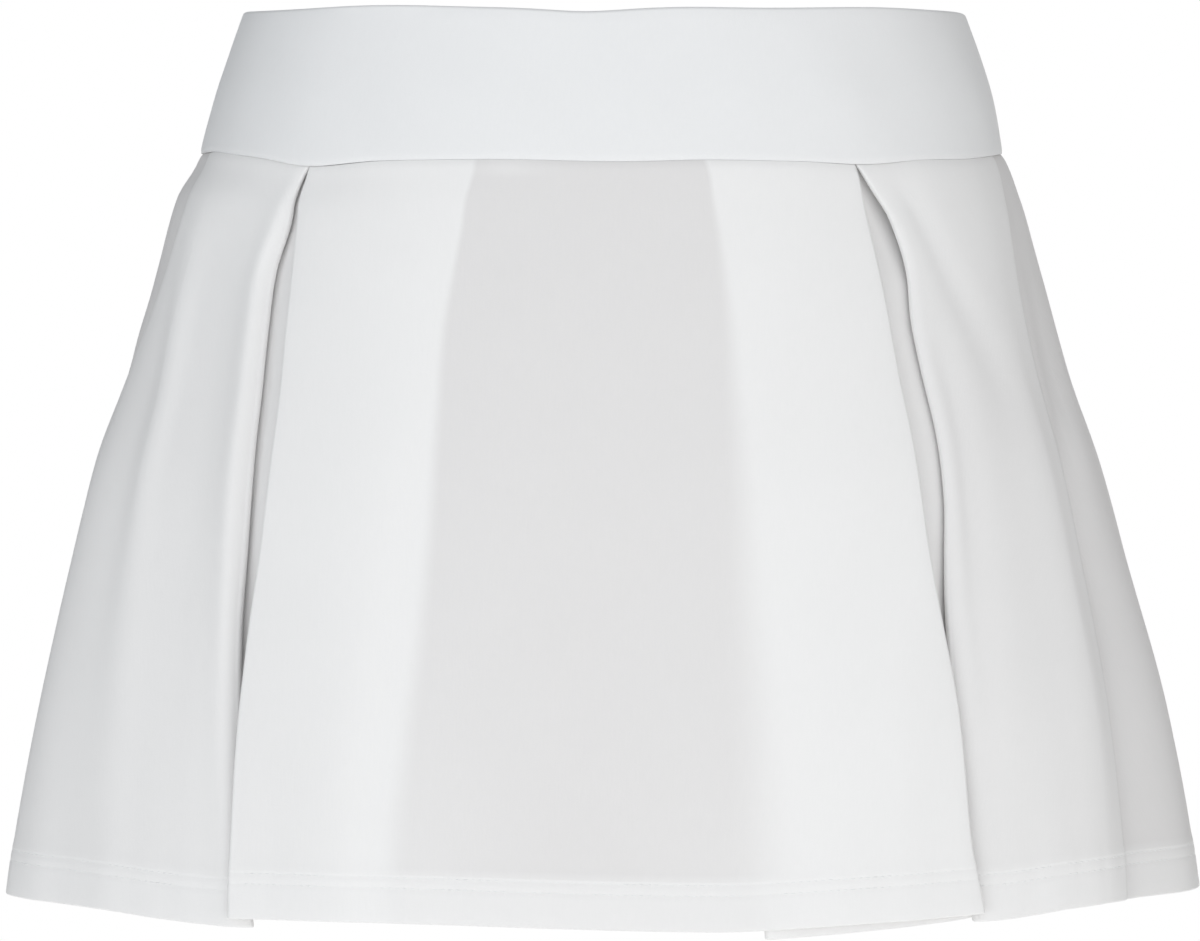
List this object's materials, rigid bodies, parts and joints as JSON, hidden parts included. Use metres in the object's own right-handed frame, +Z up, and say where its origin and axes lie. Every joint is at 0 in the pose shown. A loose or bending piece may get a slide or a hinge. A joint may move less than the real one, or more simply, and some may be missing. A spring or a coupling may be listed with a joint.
{
  "type": "tennis skirt",
  "caption": "Short flared white tennis skirt, filled out as worn, with a wide plain waistband, inverted pleats and a stitched hem.",
  "frame": {"origin": "middle of the waist opening, half-way down the waistband, where the wearer's waist holds the skirt", "axes": "+Z up out of the waist opening; -Y is the front, which has the wide middle panel between two pleats; +X is the wearer's left and the skirt's widest extent"},
  "size_m": [0.4435, 0.3219, 0.3297],
  "materials": {
    "band_knit": "matt, smooth double knit",
    "skirt_knit": "matt, smooth knit with a faint vertical rib"
  },
  "bodies": {
    "root": {"waistband_front": "band_knit", "waistband_back": "band_knit", "skirt_front": "skirt_knit", "skirt_back": "skirt_knit"}
  },
  "joints": []
}
